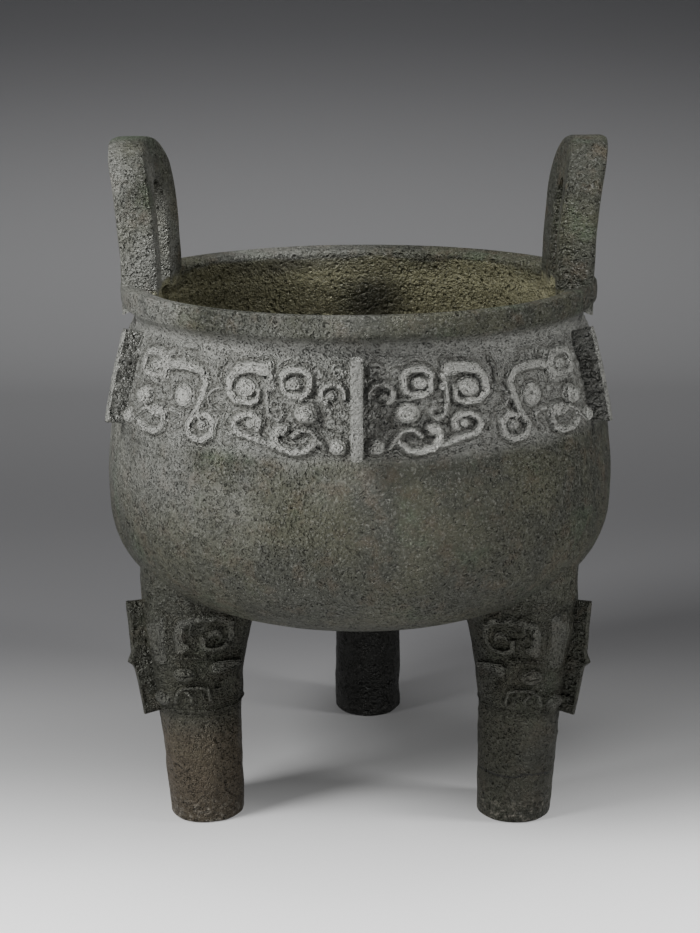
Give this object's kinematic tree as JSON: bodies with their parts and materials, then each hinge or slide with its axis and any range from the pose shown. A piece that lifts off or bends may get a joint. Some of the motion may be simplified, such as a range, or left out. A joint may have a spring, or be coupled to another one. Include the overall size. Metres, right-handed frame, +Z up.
{
  "type": "bronze ding vessel",
  "caption": "Large round bronze ding: deep round-bellied cauldron on column legs, upright rim handles, mask frieze between flanges, masks on the legs.",
  "frame": {"origin": "middle of the bounding box at floor height, under the vessel's own axis, on the undersides of the feet", "axes": "+Z up along the vessel's axis, -Y the front with one frieze flange in the middle and a leg to each side, X through the two handles"},
  "size_m": [0.648, 0.675, 0.851],
  "materials": {
    "bronze": "rough cast, dark grey-green patina"
  },
  "bodies": {
    "root": {"ding_vessel": "bronze"}
  },
  "joints": []
}
